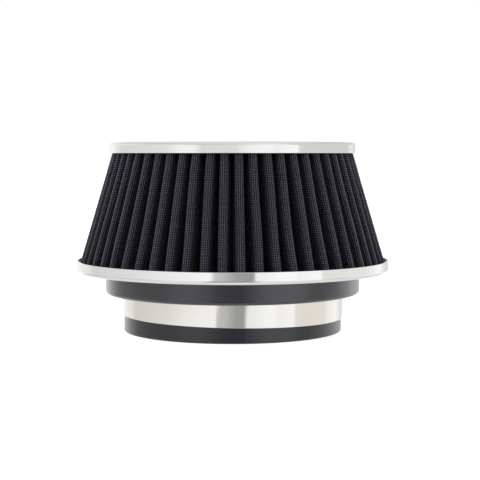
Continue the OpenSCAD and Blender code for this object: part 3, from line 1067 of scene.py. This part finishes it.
# What the mirror surfaces show, in rows from below upwards. Each panel spans two bearings in degrees, from the
# camera to the right, with its light at both as a share of white, and how warm it is: below 0 is cool.
# The light and warmth in BAND_ROW, LOW_ROW and LEVEL_ROW were read off the photo's pixels, at chosen places along
# the band, the ring and the cap, laid out by the bearing that a mirror shows there, and then tuned by trial. The
# other rows were tuned by trial against the photo. report.md says how this stands to the rule on picture data.

# Below and on the table: the ring's rounded lower edge shows these two
FLOOR_ROW = [(-180, 180, 0.69, 0.69, 0)]
TABLE_ROW = [
    (-180, -130, 0.68, 0.68, 0), (-110, -60, 0.68, 0.68, 0), (-45, -22, 0.8, 0.8, 0), (-16, 16, 0.06, 0.06, 0),
    (22, 60, 0.8, 0.8, 0), (80, 105, 0.68, 0.68, 0), (125, 180, 0.7, 0.7, 0),
]

# The rubber rim shows this row
RIM_ROW = [
    (-180, -142, 1, 1, -2), (-125, -62, 0.35, 0.35, -4), (-50, -32, 0.6, 0.6, -4), (-20, 20, 0.38, 0.38, -4),
    (34, 64, 1, 1, -8), (76, 90, 0.4, 0.4, -4), (98, 180, 1, 1, 4),
]

# The stainless band shows this row
BAND_ROW = [
    (-180, -152, 0.92, 0.92, 0), (-141, -128, 0.86, 0.78, 1), (-119, -70, 0.64, 0.73, 5),
    (-55, -17, 0.84, 0.93, 2), (-15.5, -7, 0.52, 0.49, 4), (3, 12.3, 0.34, 0.33, 3), (14.3, 28, 0.85, 0.89, 0),
    (35, 45, 0.95, 0.98, 0), (48, 66, 0.88, 0.98, 0), (68, 110, 0.76, 0.76, 9), (116, 124, 0.86, 0.89, 4),
    (131, 136, 0.96, 0.98, -5), (150, 180, 0.74, 0.7, -6),
]

# The base ring's wall shows this row
LOW_ROW = [
    (-180, -152, 0.88, 0.89, 0), (-141, -128, 0.8, 0.76, 1), (-119, -72, 0.64, 0.73, 4),
    (-54, -15.2, 0.8, 0.91, 2), (-12.2, -7, 0.53, 0.5, 1), (3, 15, 0.34, 0.31, 3), (17, 28, 0.84, 0.88, 0),
    (35, 45, 0.95, 0.98, 0), (48, 66, 0.88, 0.98, 0), (68, 84, 0.76, 0.76, 9), (94, 110, 0.77, 0.77, 4),
    (116, 124, 0.81, 0.84, 2), (131, 136, 0.92, 0.92, -7), (150, 180, 0.66, 0.62, -8),
]

# The rubber step shows this row
STEP_ROW = [
    (-180, -142, 1, 1, -2), (-125, -62, 0.02, 0.05, -4), (-50, -32, 0.6, 0.6, -4), (-24, 24, 0.05, 0.05, -4),
    (34, 64, 1, 1, -10), (76, 104, 0.05, 0.05, -4), (118, 180, 1, 1, -4),
]

# The cap's wall shows this row
LEVEL_ROW = [
    (-180, -165, 0.8, 0.8, 0), (-159, -151, 0.95, 0.94, 0), (-124, -64, 0.68, 0.73, 4),
    (-48, -35, 0.87, 0.88, 1), (-28, 3, 0.69, 0.71, 4), (8, 15, 0.79, 0.85, 1), (20, 37, 0.875, 0.9, 0),
    (39, 61.5, 0.84, 0.94, 0), (65, 134, 0.66, 0.625, 8), (140, 148, 0.77, 0.77, -1),
    (157, 180, 0.67, 0.65, -5),
]

# The cap's rounded shoulder and its top show the last three
MIDDLE_ROW = [
    (-180, -110, 0.8, 0.8, 1), (-95, -45, 0.74, 0.8, 1), (-28, -12, 0.56, 0.56, 1), (5, 50, 0.74, 0.84, 1),
    (65, 180, 0.63, 0.63, 1),
]
HIGH_ROW = [
    (-180, -105, 0.65, 0.65, 1), (-90, 12, 0.52, 0.62, 1), (30, 45, 0.8, 0.8, 1), (65, 180, 0.58, 0.58, 1),
]
UPPER_ROW = [(-180, 180, 0.7, 0.7, 2)]

# Each row starts to show at the first elevation and is all that shows from the second one on, in degrees
ROWS = [
    (TABLE_ROW, -33, -27), (RIM_ROW, -15, -14), (BAND_ROW, -10.5, -9), (LOW_ROW, -6.6, -6),
    (STEP_ROW, -4.5, -4.2), (LEVEL_ROW, -1, -0.7), (MIDDLE_ROW, 5, 9), (HIGH_ROW, 17, 23), (UPPER_ROW, 44, 52),
]

# What one step of warmth takes off a panel's red, green and blue, as a share
WARM_FALL = (0, 0.0035, 0.009)


def panel_colour(light, warmth):
    """Colour of a panel, made up for what the metal swallows"""
    shown = [light * (1 - fall * warmth) / MIRROR for fall in WARM_FALL]
    return tuple(min(1, c) for c in shown)


def build_world():
    """Studio round the object: panels for shiny surfaces, plain white for the camera, soft light for the rest"""
    world = bpy.data.worlds.new("studio")
    bpy.context.scene.world = world
    world.use_nodes = True
    tree = world.node_tree

    def linked(kind, values, out, **settings):
        made = tree.nodes.new(kind)
        for key, value in settings.items():
            setattr(made, key, value)
        for socket, value in values.items():
            if isinstance(value, bpy.types.NodeSocket):
                tree.links.new(value, made.inputs[socket])
            else:
                made.inputs[socket].default_value = value
        return made.outputs[out]

    def mixed(share, first, second):
        return linked("ShaderNodeMix", {0: share, 6: first, 7: second}, 2, data_type="RGBA")

    def row_colours(turn, panels):
        ramp = tree.nodes.new("ShaderNodeValToRGB")
        elements = ramp.color_ramp.elements
        stops = [(b, panel_colour(v, w)) for b0, b1, v0, v1, w in panels for b, v in ((b0, v0), (b1, v1))]
        while len(elements) < len(stops):
            elements.new(1)
        for element, (bearing, colour) in zip(elements, stops):
            element.position = bearing / 360 + 0.5
            element.color = (*colour, 1)
        tree.links.new(turn, ramp.inputs["Fac"])
        return ramp.outputs["Color"]

    way = linked("ShaderNodeTexCoord", {}, "Generated")
    split = tree.nodes.new("ShaderNodeSeparateXYZ")
    tree.links.new(way, split.inputs[0])
    x, y, z = split.outputs
    towards = linked("ShaderNodeMath", {0: y, 1: -1}, 0, operation="MULTIPLY")
    bearing = linked("ShaderNodeMath", {0: x, 1: towards}, 0, operation="ARCTAN2")
    turn = linked("ShaderNodeMath", {0: bearing, 1: 1 / TAU, 2: 0.5}, 0, operation="MULTIPLY_ADD")
    around = row_colours(turn, FLOOR_ROW)
    for panels, start, full in ROWS:
        limits = {1: math.sin(math.radians(start)), 2: math.sin(math.radians(full))}
        share = linked("ShaderNodeMapRange", {0: z, **limits}, 0)
        around = mixed(share, around, row_colours(turn, panels))

    rays = tree.nodes.new("ShaderNodeLightPath")
    glossy, clear = rays.outputs["Is Glossy Ray"], rays.outputs["Is Transmission Ray"]
    shiny = linked("ShaderNodeMath", {0: glossy, 1: clear}, 0, operation="MAXIMUM")
    seen = mixed(shiny, (*SOFT_LIGHT, 1), around)
    final = mixed(rays.outputs["Is Camera Ray"], seen, (1, 1, 1, 1))
    back = tree.nodes["Background"]
    tree.links.new(final, back.inputs["Color"])
    back.inputs["Strength"].default_value = 1


def add_lamp(name, place, size, watts):
    """A soft round lamp that looks at the object and isn't seen in its mirror surfaces"""
    data = bpy.data.lights.new(name, "AREA")
    data.shape = "DISK"
    data.size = size
    data.energy = watts
    lamp = bpy.data.objects.new(name, data)
    bpy.context.scene.collection.objects.link(lamp)
    lamp.location = place
    aim = Vector((0, 0, PACK_LOW.z)) - lamp.location
    lamp.rotation_euler = aim.to_track_quat("-Z", "Y").to_euler()
    lamp.visible_glossy = False
    lamp.visible_camera = False


build_cap()
build_ring()
build_neck()
build_beds()
build_cloth()
build_inner_screen()
wire_places = all_round(even_places(WIRES_PER_PLEAT, SCREEN_MID))
build_warp(*wire_places)
build_weft(*wire_places)
build_band()
build_screw()
build_thread()
dress_node("seam_clip", ALUMINIUM)
dress_node("clamp_saddle", BAND_METAL, SADDLE_EDGE)
dress_node("clamp_housing", BAND_METAL, HOUSE_EDGE)

build_camera()
build_floor()
build_world()
for lamp in LAMPS:
    add_lamp(*lamp)
bpy.context.scene.view_settings.view_transform = "Standard"
